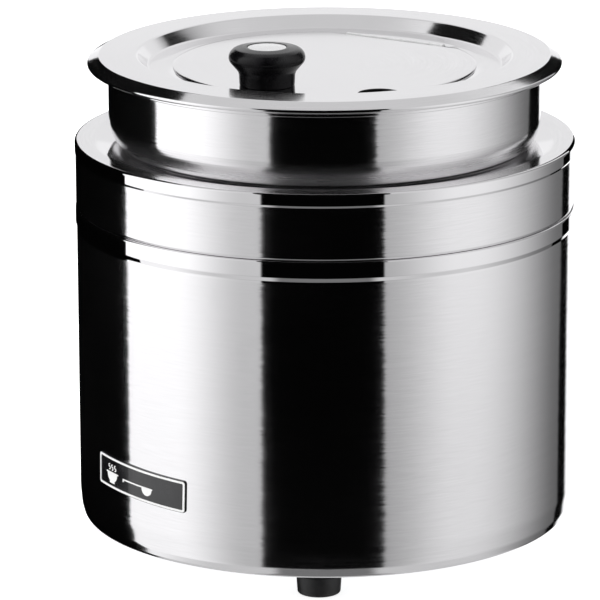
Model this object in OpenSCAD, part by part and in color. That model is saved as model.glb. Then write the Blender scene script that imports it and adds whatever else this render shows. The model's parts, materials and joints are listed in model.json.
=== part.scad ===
// Countertop soup kettle: a round steel casing with a water well, a lift-out food pot,
// a drawn lid with a hinged flap, and a thermostat with its dial at the rear.
// Millimetres. +Z up, -Y is the front with the badge, origin on the bench under the centre.

/* [Casing] */
// Radius of the round casing
body_r = 170; // [164:1:176]
// Height of the lower casing, from its bottom edge to the groove under the band
casing_h = 218; // [205:1:230]
// Height of the band, from the groove to the shoulder
band_h = 45.8; // [42:0.2:52]
// Thickness of the steel sheet
sheet = 1.0; // [0.8:0.1:1.1]
// Height over which the lower edge curves in
base_bend = 16; // [12:1:20]

/* [Feet] */
// Height of the rubber feet under the casing
foot_h = 20; // [16:1:24]
// Distance of each foot from the centre
foot_ring_r = 133; // [120:1:134]
// Radius of a foot at its top
foot_r = 15.6; // [14:0.1:16]
// Angle that the feet are turned by from the diagonals
feet_turn = 1.3; // [-5:0.1:5]

/* [Pot] */
// Height of the lid's flat flange over the shoulder
neck_h = 57.8; // [54:0.2:64]
// Height of the pot, from its floor to its rim
pot_h = 224; // [205:1:230]
// Depth of water under the pot
water_h = 20; // [16:1:24]

/* [Lid] */
// Angle that the lid is turned to, seen from above
lid_turn = 15.8; // [0:0.1:60]
// Largest radius of the lid's rolled edge
lid_r = 161.5; // [161:0.1:163]
// Radius where the lid's flat flange turns down to the rolled edge
lid_flat_r = 153.6; // [152:0.2:155]
// Radius of the hinged flap
flap_r = 103.2; // [102:0.2:104]
// Distance of the hinge pin from the lid's centre
hinge_y = 91.5; // [90:0.5:92]
// Knuckles along the hinge, an odd number
knuckles = 7; // [5:2:9]
// Radius of the ladle slot in the flap's edge
slot_r = 14.5; // [12:0.5:18]
// Direction of the ladle slot in the lid's own frame
slot_angle = 323.4; // [310:0.2:330]
// Direction of the knob in the lid's own frame
knob_angle = 272.9; // [265:0.1:285]
// Distance of the knob from the lid's centre
knob_at = 78; // [74:1:82]

/* [Controls] */
// Direction of the dial, round the casing from the right-hand side
dial_angle = 138; // [130:1:145]
// Direction of the indicator lamp
lamp_angle = 156; // [153:1:165]
// Direction of the cable gland
gland_angle = 114; // [108:1:118]
// Height of the dial's axis over the bench
dial_z = 62; // [58:1:66]
// Radius of the dial's skirt
dial_r = 23; // [20:0.5:24]
// Height of the cable gland's axis over the bench
gland_z = 52; // [48:1:56]
// Width of the badge, measured round the casing
badge_w = 89.6; // [80:0.2:96]
// Height of the badge
badge_h = 22.4; // [18:0.2:24]
// Angle that the badge is out of level by, as it was stuck on
badge_tilt = 1.6; // [-3:0.1:3]

/* [Hidden] */
$fn = 96;
gap = 0.3;    // between parts that lift off or turn past each other
touch = 0.1;  // between sheets that lie on each other

z_base = foot_h;
z_seam = z_base + casing_h;
z_shoulder = z_seam + band_h;
z_seat = z_shoulder - 2.8;
z_lid = z_shoulder + neck_h;
z_rim = z_lid - sheet - gap;
z_pot = z_rim - pot_h;
z_well = z_pot - gap - water_h;

neck_r = body_r - 22.6;
pot_r = body_r - 38.5;
well_r = pot_r + 5;
rim_r = neck_r + 3.6;

flange_in_r = body_r - 20;
plate_r = body_r - 10;
plate_z = z_base + sheet + touch;
plate_t = 1.5;
floor_z = plate_z + plate_t;

lip_r = 1.6;
lip_slope = 30;
recess_h = 8.6;
recess_r = 127.7;
ledge_r = 120.6;
ledge_z = z_lid - recess_h;
mouth_r = flap_r - 3.7;
mouth_back = hinge_y - 11;
hinge_len = 79;
hinge_z = ledge_z;
barrel_r = 2.0;
pin_r = 1.1;
leaf_t = 0.8;
flap_t = 1.1;
flap_z = ledge_z + touch;
flap_top = flap_z + flap_t;
flap_back = hinge_y - 2.4;

knob_h = 26;
knob_cap_r = 13.2;

element_r = 74;
element_tube_r = 4;
spreader_t = 4;
spreader_z = z_well - spreader_t - touch;
element_z = spreader_z - element_tube_r - touch;
stud_r = 3;

stat_face_x = -(body_r - 7);
stat_depth = 24;
stat_z = dial_z;
dial_back_x = -(body_r + 1.4);
element_turn = 125;
element_open = 34;
cutout_angle = 69;
cutout_r = 114;
feet_angles = [for (a = [45:90:315]) a + feet_turn];

// ---- Outlines of bent sheet ----

function unit(v) = v / norm(v);

// Points round an arc, from one angle to another
function arc(centre, r, from, to, steps = 8) =
    [for (i = [0:steps])
        let (a = from + (to - from) * i / steps)
        centre + r * [cos(a), sin(a)]];

// The rounded corner at b of the path a, b, c
function bend(a, b, c, r, steps = 6) =
    let (
        u = unit(a - b),
        v = unit(c - b),
        half = acos(max(-1, min(1, u * v))) / 2,
        centre = b + unit(u + v) * r / sin(half),
        p = b + u * r / tan(half) - centre,
        q = b + v * r / tan(half) - centre,
        from = atan2(p.y, p.x),
        turn = atan2(p.x * q.y - p.y * q.x, p * q)
    )
    arc(centre, r, from, from + turn, steps);

// A path through corners [radius, height, bend radius]; a corner with no bend stays sharp
function bent(corners) =
    [for (i = [0:len(corners) - 1])
        let (
            k = corners[i],
            here = [k[0], k[1]],
            last = i == 0 || i == len(corners) - 1 || k[2] == undef
        )
        each last
            ? [here]
            : bend([corners[i - 1][0], corners[i - 1][1]], here,
                   [corners[i + 1][0], corners[i + 1][1]], k[2])];

// The unit normal to the left of a path at its point i, lengthened at a corner
function left_of(path, i) =
    let (
        a = i > 0 ? unit(path[i] - path[i - 1]) : unit(path[1] - path[0]),
        b = i < len(path) - 1 ? unit(path[i + 1] - path[i]) : a,
        m = unit(a + b)
    )
    [-m.y, m.x] / max(0.5, m * a);

// The closed outline of a sheet of thickness t on the left of a path
function sheet_outline(path, t) =
    concat(path, [for (i = [len(path) - 1:-1:0]) path[i] + t * left_of(path, i)]);

module spun(path, t = sheet) {
    rotate_extrude() polygon(sheet_outline(path, t));
}

// ---- Small shapes ----

// A tube between two radii
module ring(outer, inner, h) {
    difference() {
        cylinder(r = outer, h = h);
        translate([0, 0, -1]) cylinder(r = inner, h = h + 2);
    }
}

// A rectangle with rounded corners, centred
module rounded_rect(x, y, r) {
    square([x - 2 * r, y], center = true);
    square([x, y - 2 * r], center = true);
    for (sx = [-1, 1], sy = [-1, 1])
        translate([sx * (x / 2 - r), sy * (y / 2 - r)]) circle(r = r, $fn = 32);
}

// A block with its long edges rounded, centred in X and Y
module rounded_block(x, y, h, r) {
    linear_extrude(h) rounded_rect(x, y, r);
}

// A hexagon nut with its bore
module nut(flats, bore_r, h) {
    difference() {
        cylinder(r = flats / 2 / cos(30), h = h, $fn = 6);
        translate([0, 0, -1]) cylinder(r = bore_r, h = h + 2, $fn = 32);
    }
}

// A pan head screw along +Z, with its head below z = 0
module pan_screw(r, length, head_r, head_h) {
    difference() {
        union() {
            cylinder(r = r, h = length, $fn = 32);
            translate([0, 0, -head_h]) cylinder(r1 = head_r * 0.8, r2 = head_r, h = head_h, $fn = 32);
        }
        for (a = [0, 90])
            rotate(a) translate([-head_r * 0.5, -0.4, -head_h - 1]) cube([head_r, 0.8, 2]);
    }
}

// A ring of points slid along d to the plane through a point with the normal m
function slid(ring, d, at, m) = [for (p = ring) p + d * ((at - p) * m) / (d * m)];

// The rings of a tube along a path, mitred at each corner
function tube_rings(path, ring, i = 0) =
    i == len(path) - 1
        ? [ring]
        : let (
            d = unit(path[i + 1] - path[i]),
            e = i + 2 < len(path) ? unit(path[i + 2] - path[i + 1]) : d
        )
        concat([ring], tube_rings(path, slid(ring, d, path[i + 1], unit(d + e)), i + 1));

// A wire of straight runs through points
module wire(path, r, n = 12) {
    d = unit(path[1] - path[0]);
    u = unit(cross(d, abs(d.z) < 0.9 ? [0, 0, 1] : [1, 0, 0]));
    v = cross(d, u);
    first = [for (k = [0:n - 1]) path[0] + r * (cos(360 * k / n) * u + sin(360 * k / n) * v)];
    last = (len(path) - 1) * n;
    polyhedron(
        points = [for (ring = tube_rings(path, first)) each ring],
        faces = concat(
            [[for (k = [0:n - 1]) k]],
            [[for (k = [n - 1:-1:0]) last + k]],
            [for (i = [0:len(path) - 2], k = [0:n - 1])
                [i * n + k, (i + 1) * n + k, (i + 1) * n + (k + 1) % n, i * n + (k + 1) % n]]
        )
    );
}

// Places children at each foot
module at_feet() {
    for (a = feet_angles) rotate(a) translate([foot_ring_r, 0, 0]) children();
}

// Turns children from the lid's own frame to where the lid lies
module on_lid() {
    rotate(lid_turn) children();
}

// Turns children about the casing, from the left side to the dial's direction
module to_dial() {
    rotate(dial_angle - 180) children();
}

// Lays children's +Z outwards along the dial's axis, starting where x lies on the left
module on_dial_axis(x) {
    to_dial() translate([x, 0, dial_z]) rotate([0, -90, 0]) children();
}

// A point turned about the casing by an angle
function turned(p, a) = [p.x * cos(a) - p.y * sin(a), p.x * sin(a) + p.y * cos(a), p.z];

// A point at a radius, a direction and a height
function polar(r, a, z) = [r * cos(a), r * sin(a), z];

// ---- Casing ----

module outer_shell() {
    bead = 0.8;
    color("silver") difference() {
        spun(bent([
            [flange_in_r, z_base],
            [body_r - 2.8, z_base, 3.6],
            [body_r - 0.9, z_base + 0.45 * base_bend, 12],
            [body_r, z_base + base_bend + 2, 60],
            [body_r, z_seam - 13.8, 1.5],
            [body_r + bead, z_seam - 11, 1.5],
            [body_r + bead, z_seam - touch, 1.6],
            [body_r - 4, z_seam - touch]
        ]));
        on_dial_axis(-(body_r - 10)) cylinder(r = 5, h = 20);
        for (dz = [-14, 14])
            translate([0, 0, dz]) on_dial_axis(-(body_r - 10)) cylinder(r = 2.1, h = 20, $fn = 32);
        lamp_at() translate([0, 0, -10]) cylinder(r = 5.6, h = 20);
        on_gland_axis() translate([0, 0, -10]) cylinder(r = 8.1, h = 20);
        for (a = [0:90:270])
            rotate(a) translate([body_r - 15, 0, z_base - 1]) cylinder(r = 2.1, h = 4, $fn = 32);
    }
}

module shoulder_cap() {
    band_r = body_r + 0.4;
    swell = 0.5;
    color("silver") spun(bent([
        [body_r - 5.2, z_seam - 9],
        [body_r - 5.2, z_seam, 0.6],
        [band_r, z_seam, 2.2],
        [band_r, z_shoulder - 9.6, 1.2],
        [band_r + swell, z_shoulder - 8.2, 1.2],
        [band_r + swell, z_shoulder, 2.2],
        [body_r - 12, z_shoulder, 25],
        [body_r - 27, z_seat, 12],
        [pot_r + 2.7, z_seat, 2.5],
        [pot_r + 2.7, z_seat - 6]
    ]));
}

module water_well() {
    flange_z = z_seat - 2 * sheet - touch;
    color("lightgrey") spun(bent([
        [0, z_well],
        [well_r, z_well, 12],
        [well_r, flange_z, 2],
        [well_r + 11, flange_z]
    ]));
}

module insulation_sleeve() {
    color("khaki") translate([0, 0, z_well + 12])
        ring(well_r + 13, well_r + 1.5, z_seam - 12 - z_well - 12);
}

module base_plate() {
    color("gainsboro") difference() {
        translate([0, 0, plate_z]) cylinder(r = plate_r, h = plate_t);
        translate([0, 0, plate_z - 1]) {
            for (a = [0:90:270])
                rotate(a) translate([body_r - 15, 0, 0]) cylinder(r = 2.1, h = 4, $fn = 32);
            at_feet() cylinder(r = 2.7, h = 4, $fn = 32);
            for (a = [0:20:340]) rotate(a) {
                translate([62, -2, 0]) cube([24, 4, 4]);
                translate([62, 0, 0]) cylinder(r = 2, h = 4, $fn = 24);
                translate([86, 0, 0]) cylinder(r = 2, h = 4, $fn = 24);
            }
        }
    }
}

module base_screws() {
    color("silver") for (a = [0:90:270])
        rotate(a) translate([body_r - 15, 0, z_base - touch])
            pan_screw(1.9, 8, 3.6, 2.2);
}

// A tapered rubber foot with a collar and a recess for its screw
module foot(a) {
    color([0.09, 0.09, 0.1]) rotate(a) translate([foot_ring_r, 0, 0]) {
        top = plate_z - touch;
        difference() {
            rotate_extrude() polygon(bent([
                [0, 0],
                [foot_r - 1.1, 0, 1.5],
                [foot_r, top - 3, 0.4],
                [foot_r, top, 0.8],
                [0, top]
            ]));
            translate([0, 0, -1]) cylinder(r = 6, h = 11);
            translate([0, 0, -1]) cylinder(r = 2.7, h = top + 2, $fn = 32);
        }
    }
}

module foot_screws() {
    color("silver") at_feet() translate([0, 0, 10 - touch])
        pan_screw(2.5, plate_z + plate_t + 5.5 - 10, 4.6, 2.8);
}

module foot_nuts() {
    color("silver") at_feet() translate([0, 0, floor_z + touch]) nut(8, 2.55, 4);
}

// ---- Heating ----

module heat_spreader() {
    color([0.75, 0.76, 0.78]) translate([0, 0, spreader_z]) ring(98, stud_r + 0.3, spreader_t);
}

module heating_element() {
    color([0.35, 0.36, 0.37]) translate([0, 0, element_z]) rotate(element_turn + element_open / 2) {
        rotate_extrude(angle = 360 - element_open) translate([element_r, 0])
            circle(r = element_tube_r, $fn = 32);
        for (a = [0, 360 - element_open])
            rotate(a) translate([element_r, 0, -16])
                cylinder(r = element_tube_r - 0.3, h = 16 + element_tube_r - 0.3, $fn = 32);
    }
}

module element_ends() {
    color("ivory") for (s = [-1, 1]) rotate(element_turn + s * element_open / 2)
        translate([element_r, 0, element_z - 16 - touch]) {
            translate([0, 0, -3]) cylinder(r = 5, h = 3, $fn = 32);
            translate([-0.4, -3.1, -13]) cube([0.8, 6.2, 10]);
        }
}

module element_clamp() {
    bar_z = element_z - element_tube_r - touch - 3;
    color("silver") translate([0, 0, bar_z]) linear_extrude(3) difference() {
        union() {
            for (a = [90, 210, 330])
                rotate(a) translate([4, -8]) square([element_r + 4, 16]);
            circle(r = 14);
        }
        circle(r = stud_r + 0.3);
    }
}

module clamp_stud() {
    bar_z = element_z - element_tube_r - touch - 3;
    color("silver") translate([0, 0, bar_z - 12])
        cylinder(r = stud_r, h = z_well - touch - bar_z + 12, $fn = 32);
}

module clamp_nut() {
    bar_z = element_z - element_tube_r - touch - 3;
    color("silver") translate([0, 0, bar_z - 5 - touch]) nut(10, stud_r + 0.05, 5);
}

// The cutout stands on the well's floor outside the spreader
module cutout_at() {
    rotate(cutout_angle) translate([cutout_r, 0, z_well - touch]) children();
}

module thermal_cutout() {
    color([0.2, 0.2, 0.22]) cutout_at() {
        translate([0, 0, -1]) difference() {
            rounded_block(30, 10, 1, 3);
            for (s = [-1, 1]) translate([s * 12, 0, -1]) cylinder(r = 1.6, h = 3, $fn = 24);
        }
        translate([0, 0, -10]) cylinder(r = 8, h = 9.01, $fn = 48);
        for (s = [-1, 1]) translate([s * 4 - 0.4, -2.4, -18]) cube([0.8, 4.8, 8.01]);
    }
}

module cutout_screws() {
    color("silver") cutout_at() for (s = [-1, 1])
        translate([s * 12, 0, -1 - touch]) pan_screw(1.4, 1, 2.6, 1.6);
}

// ---- Thermostat, lamp and dial ----

module thermostat_body() {
    color([0.85, 0.84, 0.8]) on_dial_axis(stat_face_x) {
        difference() {
            union() {
                translate([0, 0, -stat_depth]) rounded_block(44, 36, stat_depth - 4, 2);
                translate([0, 0, -4.01]) rounded_block(36, 20, 4.01, 2);
                cylinder(r = 4.6, h = 3);
            }
            translate([0, 0, -stat_depth - 1]) cylinder(r = 3.05, h = stat_depth + 6, $fn = 48);
            for (s = [-1, 1]) translate([s * 14, 0, -8]) cylinder(r = 1.9, h = 9, $fn = 32);
        }
        for (y = [-12, 12]) translate([-25.5, y - 3.1, -18]) cube([4, 6.2, 0.8]);
    }
}

module thermostat_screws() {
    color("silver") to_dial() for (dz = [-14, 14])
        translate([-(body_r + touch), 0, dial_z + dz]) rotate([0, 90, 0])
            pan_screw(1.8, 11.5, 3.4, 1.1);
}

bulb_a = 205;
bulb_r = 118;

module sensor_bulb() {
    color("peru") to_dial() rotate(bulb_a) translate([bulb_r, -30, z_well - 3 - touch - 1])
        rotate([-90, 0, 0]) cylinder(r = 3, h = 60, $fn = 32);
}

module bulb_clips() {
    color("silver") to_dial() rotate(bulb_a) for (y = [-18, 18])
        translate([bulb_r, y - 3, z_well - 4.1]) rotate([-90, 0, 0]) difference() {
            union() {
                cylinder(r = 4, h = 6, $fn = 32);
                translate([-9, -4, 0]) cube([18, 1, 6]);
            }
            translate([0, 0, -1]) cylinder(r = 3.1, h = 8, $fn = 32);
            translate([-3, -5, -1]) cube([6, 2, 8]);
        }
}

module capillary_tube() {
    start = [stat_face_x + stat_depth + touch, -8, dial_z + 12];
    along = [-sin(bulb_a), cos(bulb_a), 0];
    finish = [bulb_r * cos(bulb_a), bulb_r * sin(bulb_a), z_well - 4.1] - 30 * along;
    color("peru") to_dial() wire([
        start,
        start + [9, 0, 0],
        finish + [-6, 8, -7],
        finish - 5 * along,
        finish - touch * along
    ], 0.8);
}

module lamp_at() {
    rotate(lamp_angle) translate([body_r, 0, dial_z]) rotate([0, 90, 0]) children();
}

module lamp_bezel() {
    color("silver") lamp_at() {
        difference() {
            translate([0, 0, 0.6]) cylinder(r1 = 8.4, r2 = 7.6, h = 1.6);
            cylinder(r = 6.1, h = 5);
        }
    }
}

module lamp_lens() {
    color([0.95, 0.35, 0.1]) lamp_at() difference() {
        union() {
            translate([0, 0, 0.7]) cylinder(r = 6, h = 2);
            translate([0, 0, -3]) cylinder(r = 5, h = 4);
            translate([0, 0, -2.8]) intersection() {
                sphere(r = 8.15);
                translate([0, 0, 5.4]) cylinder(r = 6, h = 4);
            }
        }
        translate([0, 0, -4]) cylinder(r = 3.6, h = 5);
    }
}

module lamp_holder() {
    color([0.15, 0.15, 0.16]) lamp_at() {
        translate([0, 0, -24]) cylinder(r = 5.2, h = 20.9);
        translate([0, 0, -6]) ring(8, 5.1, 3);
        for (s = [-1, 1]) translate([-0.4, s * 2.6 - 1.4, -31]) cube([0.8, 2.8, 7.01]);
    }
}

module dial_skirt() {
    color([0.08, 0.08, 0.09]) on_dial_axis(dial_back_x) difference() {
        rotate_extrude() polygon(bent([
            [0, 0],
            [dial_r, 0, 0.6],
            [dial_r - 0.6, 3, 1],
            [dial_r - 7, 4.6],
            [0, 4.6]
        ]));
        translate([0, 0, -1]) cylinder(r = 3.05, h = 8, $fn = 48);
        translate([0, 0, -1]) ring(dial_r - 2, 6, 2.6);
    }
}

module dial_grip() {
    grip_h = 15;
    color([0.08, 0.08, 0.09]) on_dial_axis(dial_back_x + 0) translate([0, 0, 4.6]) difference() {
        intersection() {
            union() {
                rotate_extrude() polygon(bent([
                    [0, 0],
                    [14.5, 0],
                    [13.2, grip_h, 1.8],
                    [0, grip_h]
                ]));
            }
            union() {
                translate([-16, -5, -1]) cube([32, 10, grip_h + 2]);
                cylinder(r = 14.5, h = 5);
            }
        }
        translate([0, 0, -1]) cylinder(r = 3.05, h = 10, $fn = 48);
        translate([4, -0.8, grip_h - 0.7]) cube([20, 1.6, 3]);
    }
}

module dial_pointer() {
    color("white") on_dial_axis(dial_back_x) translate([4.05, -0.75, 4.6 + 15 - 0.65])
        cube([8.4, 1.5, 0.75]);
}

module dial_index() {
    color("red") to_dial() translate([0, 0, dial_z + dial_r + 3]) intersection() {
        translate([0, 0, -5]) ring(body_r + 0.5, body_r + 0.05, 20);
        translate([-body_r - 5, 0, 0]) rotate([90, 0, 90])
            linear_extrude(10) polygon([[-2.6, 5], [2.6, 5], [0, 0]]);
    }
}

module thermostat_spindle() {
    tip = 10;
    color("silver") on_dial_axis(stat_face_x + stat_depth - 2)
        cylinder(r = 3, h = stat_depth - 2 + (stat_face_x - dial_back_x) + tip, $fn = 48);
}

// ---- Mains entry and wiring ----

// Turns children about the casing, from the rear to the gland's direction
module to_gland() {
    rotate(gland_angle - 90) children();
}

// Lays children's +Z outwards along the gland's axis, starting at the wall
module on_gland_axis() {
    to_gland() translate([0, body_r, gland_z]) rotate([-90, 0, 0]) children();
}

module gland_body() {
    color([0.12, 0.12, 0.13]) on_gland_axis() difference() {
        union() {
            translate([0, 0, 0.4]) cylinder(r = 12, h = 3.2, $fn = 6);
            translate([0, 0, 0.4]) cylinder(r = 11, h = 3.2);
            translate([0, 0, -16]) cylinder(r = 7.9, h = 22);
        }
        translate([0, 0, -17]) cylinder(r = 4.2, h = 26);
    }
}

module gland_nut() {
    color([0.12, 0.12, 0.13]) on_gland_axis() translate([0, 0, 3.7]) difference() {
        union() {
            cylinder(r = 10.6, h = 8, $fn = 12);
            cylinder(r = 10, h = 9);
            translate([0, 0, 9]) cylinder(r1 = 9.6, r2 = 6.6, h = 4);
        }
        translate([0, 0, -1]) cylinder(r = 4.2, h = 16);
        translate([0, 0, -1]) cylinder(r = 8, h = 3.4);
    }
}

module gland_locknut() {
    color([0.12, 0.12, 0.13]) on_gland_axis() translate([0, 0, -8.4]) nut(22, 8, 4.5);
}

block = [26, 108];
earth = [62, 98];

module terminal_block() {
    color("ivory") to_gland() translate([block.x, block.y, floor_z + touch]) difference() {
        union() {
            rounded_block(44, 16, 6, 1.5);
            for (x = [-14, 0, 14]) translate([x, 0, 6]) rounded_block(11, 14, 9, 2);
        }
        for (x = [-14, 0, 14]) {
            translate([x, -10, 9.5]) rotate([-90, 0, 0]) cylinder(r = 2.2, h = 20, $fn = 24);
            for (y = [-4, 4]) translate([x, y, 10]) cylinder(r = 1.9, h = 8, $fn = 24);
        }
    }
}

module terminal_screws() {
    color("goldenrod") to_gland() for (x = [-14, 0, 14], y = [-4, 4])
        translate([block.x + x, block.y + y, floor_z + touch + 11.8]) difference() {
            cylinder(r = 1.7, h = 2.4, $fn = 24);
            translate([-2, -0.3, 1.6]) cube([4, 0.6, 2]);
        }
}

module earth_stud() {
    color("goldenrod") to_gland() translate([earth.x, earth.y, floor_z + touch]) {
        cylinder(r = 4, h = 1.2, $fn = 32);
        cylinder(r = 2, h = 14, $fn = 32);
    }
}

module earth_nut() {
    color("goldenrod") to_gland() translate([earth.x, earth.y, floor_z + touch + 4]) nut(7, 2.05, 3.2);
}

wire_r = 1.3;
port_z = floor_z + touch + 9.5;
tab_x = stat_face_x + 17.6;
tab_z = dial_z - 25.5 - touch;
cutout_tab_z = z_well - 18.1 - touch;
end_tab_z = element_z - 29.1 - touch;

// A point given in the gland's frame, with the gland at the rear
function by_gland(x, y, z) = turned([x, y, z], gland_angle - 90);

// A point given in the dial's frame, with the dial on the left
function by_dial(x, y, z) = turned([x, y, z], dial_angle - 180);

module wire_live() {
    color("saddlebrown") wire([
        by_gland(block.x - 14, block.y - 8, port_z),
        by_gland(block.x - 14, block.y - 20, port_z),
        polar(104, cutout_angle + 14, 50),
        polar(cutout_r - 4, cutout_angle, 60),
        polar(cutout_r - 4, cutout_angle, cutout_tab_z)
    ], wire_r);
}

module wire_link() {
    color("black") wire([
        polar(cutout_r + 4, cutout_angle, cutout_tab_z),
        polar(cutout_r + 4, cutout_angle, 66),
        polar(122, cutout_angle + 27, 58),
        polar(128, dial_angle - 20, 44),
        by_dial(tab_x + 4, 14, tab_z - 6),
        by_dial(tab_x, 12, tab_z)
    ], wire_r);
}

module wire_switched() {
    end_a = element_turn + element_open / 2;
    color("firebrick") wire([
        by_dial(tab_x, -12, tab_z),
        by_dial(tab_x + 6, -14, tab_z - 4),
        polar(108, dial_angle + 12, 38),
        polar(element_r + 4, end_a, 44),
        polar(element_r, end_a, end_tab_z - 6),
        polar(element_r, end_a, end_tab_z)
    ], wire_r);
}

module wire_neutral() {
    end_a = element_turn - element_open / 2;
    color("steelblue") wire([
        by_gland(block.x, block.y - 8, port_z),
        by_gland(block.x, block.y - 20, port_z),
        polar(element_r + 6, end_a - 4, 42),
        polar(element_r, end_a, end_tab_z - 6),
        polar(element_r, end_a, end_tab_z)
    ], wire_r);
}

module wire_earth() {
    color("olivedrab") wire([
        by_gland(block.x + 14, block.y - 8, port_z),
        by_gland(block.x + 14, block.y - 19, port_z),
        by_gland(earth.x - 8, earth.y - 9, 29),
        by_gland(earth.x - 2, earth.y - 4.6, floor_z + touch + 2.6)
    ], wire_r);
}

module wire_lamp() {
    tab_r = body_r - 31 - touch;
    a = lamp_angle;
    color("dimgray") for (s = [-1, 1]) wire([
        turned([tab_r, s * 2.6, dial_z], a),
        turned([tab_r - 10, s * 2.6, dial_z], a),
        polar(122, dial_angle + 6, 52 + 3 * s),
        polar(122, dial_angle - 14, 46 + 3 * s),
        by_gland(block.x - 7 + 7 * s, block.y + 18, 40),
        by_gland(block.x - 7 + 7 * s, block.y + 8, port_z)
    ], 0.9);
}

// ---- Badge on the front ----

badge_z = 70.4;

// The chord of an arc of length w round the casing, to 0.1 mm
function chord(w) = round(20 * body_r * sin(w / body_r * 90 / PI)) / 10;

// Thickens a flat shape into a block that passes through the casing's front
module through_front() {
    translate([0, 0, badge_z]) rotate([90, badge_tilt, 0]) translate([0, 0, body_r - 14])
        linear_extrude(20) children();
}

// Lays a flat shape on the casing's front, between two radii
module on_front(inner, outer) {
    difference() {
        intersection() {
            translate([0, 0, badge_z - 20]) cylinder(r = outer, h = 40);
            through_front() children();
        }
        translate([0, 0, badge_z - 20]) cylinder(r = inner, h = 40);
    }
}

module badge_plate() {
    color([0.03, 0.03, 0.03]) on_front(body_r + 0.05, body_r + 1.1)
        rounded_rect(chord(badge_w), badge_h, 2.2);
}

module badge_border() {
    rim = 0.5;
    edge = 1.5;
    outer_w = chord(badge_w - 2 * rim);
    outer_h = badge_h - 2 * rim;
    color("white") difference() {
        on_front(body_r + 1.15, body_r + 1.5) rounded_rect(outer_w, outer_h, 1.8);
        through_front() rounded_rect(outer_w - 2 * edge, outer_h - 2 * edge, 0.8);
    }
}

// The lower half of a disc, with its flat side up
module half_disc(r) {
    intersection() {
        circle(r = r);
        translate([-r - 1, -r - 1]) square([2 * r + 2, r + 1]);
    }
}

// Half of a small ring, open to the left (-1) or to the right (1)
module curl(side) {
    difference() {
        circle(r = 1.3, $fn = 32);
        circle(r = 0.5, $fn = 32);
        translate([side > 0 ? 0 : -3, -2]) square([3, 4]);
    }
}

// A bowl with three wisps of steam and a ladle beside it, as a generic sign for hot soup
module emblem_outline() {
    translate([-27, -0.6]) {
        half_disc(6);
        translate([-7.4, 0]) square([14.8, 1.1]);
        translate([-3, -6.7]) square([6, 1.2]);
        for (x = [-3.6, 0, 3.6]) {
            translate([x, 3.5]) curl(-1);
            translate([x, 5.3]) curl(1);
        }
    }
    translate([11, -1.4]) {
        half_disc(4.8);
        translate([-5.4, 0]) square([10.8, 1]);
        translate([-25, 0]) square([20, 1]);
        translate([-25, -1.4]) square([1, 2.4]);
    }
}

module badge_emblem() {
    color("white") on_front(body_r + 1.15, body_r + 1.5) emblem_outline();
}

// ---- Pot ----

module food_pot() {
    step_z = z_seat + gap;
    color("silver") spun(bent([
        [0, z_pot],
        [pot_r - 1, z_pot, 20],
        [pot_r, step_z, 3],
        [neck_r - 5.5, step_z, 7],
        [neck_r, step_z + 13, 22],
        [neck_r, z_rim - sheet, 1],
        [rim_r - sheet, z_rim - sheet, 1],
        [rim_r - sheet, z_rim - 10]
    ]));
}

// ---- Lid ----

module lid_pan() {
    a = 90 - lip_slope;
    drop = (lid_r - lip_r + lip_r * cos(a) - lid_flat_r) * tan(lip_slope);
    lip = [lid_r - lip_r, z_lid - drop - lip_r * sin(a)];
    color("silver") on_lid() difference() {
        spun(concat(
            arc(lip, lip_r, -150, a, 12),
            bent([
                [lid_flat_r + 2, z_lid - 2 * tan(lip_slope)],
                [lid_flat_r, z_lid, 1.2],
                [recess_r, z_lid, 2],
                [ledge_r, ledge_z, 2.5],
                [mouth_r - 12, ledge_z]
            ])
        ));
        translate([0, 0, ledge_z - 3]) linear_extrude(6) {
            intersection() {
                circle(r = mouth_r);
                translate([-200, -200]) square([400, 200 + mouth_back]);
            }
            translate([-hinge_len / 2 - 2, 0]) square([hinge_len + 4, hinge_y + 2.8]);
            intersection() {
                circle(r = flap_r - 0.4);
                rotate(slot_angle) translate([flap_r - 1.7, 0]) circle(r = slot_r - 0.4);
            }
        }
    }
}

// The knuckles whose number is even (0) or odd (1), along X on the hinge axis
module knuckle_row(odd) {
    pitch = hinge_len / knuckles;
    for (i = [odd:2:knuckles - 1])
        translate([-hinge_len / 2 + i * pitch + 0.15, 0, 0]) rotate([0, 90, 0])
            cylinder(r = barrel_r, h = pitch - 0.3, $fn = 32);
}

// A leaf on one side of the hinge, with its knuckles and the bore for the pin
module hinge_leaf(odd, from_y, to_y, z) {
    pitch = hinge_len / knuckles;
    difference() {
        union() {
            translate([-hinge_len / 2, min(from_y, to_y), z])
                cube([hinge_len, abs(to_y - from_y), leaf_t]);
            translate([0, hinge_y, hinge_z]) knuckle_row(odd);
            for (i = [odd:2:knuckles - 1])
                translate([-hinge_len / 2 + i * pitch + 0.15, min(hinge_y, from_y) - 0.01, z])
                    cube([pitch - 0.3, abs(hinge_y - from_y) + 0.02, leaf_t]);
        }
        translate([-hinge_len, hinge_y, hinge_z]) rotate([0, 90, 0])
            cylinder(r = odd == 1 ? pin_r + 0.05 : pin_r, h = 2 * hinge_len, $fn = 32);
    }
}

module hinge_fixed_leaf() {
    color("silver") on_lid()
        hinge_leaf(0, hinge_y + 2.6, hinge_y + 13, ledge_z - sheet - touch - leaf_t);
}

module hinge_flap_leaf() {
    color("silver") on_lid()
        hinge_leaf(1, flap_back - 0.2, flap_back - 11, flap_z - touch - leaf_t);
}

module hinge_pin() {
    color("silver") on_lid() translate([-hinge_len / 2 - 0.6, hinge_y, hinge_z])
        rotate([0, 90, 0]) cylinder(r = pin_r, h = hinge_len + 1.2, $fn = 32);
}

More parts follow.
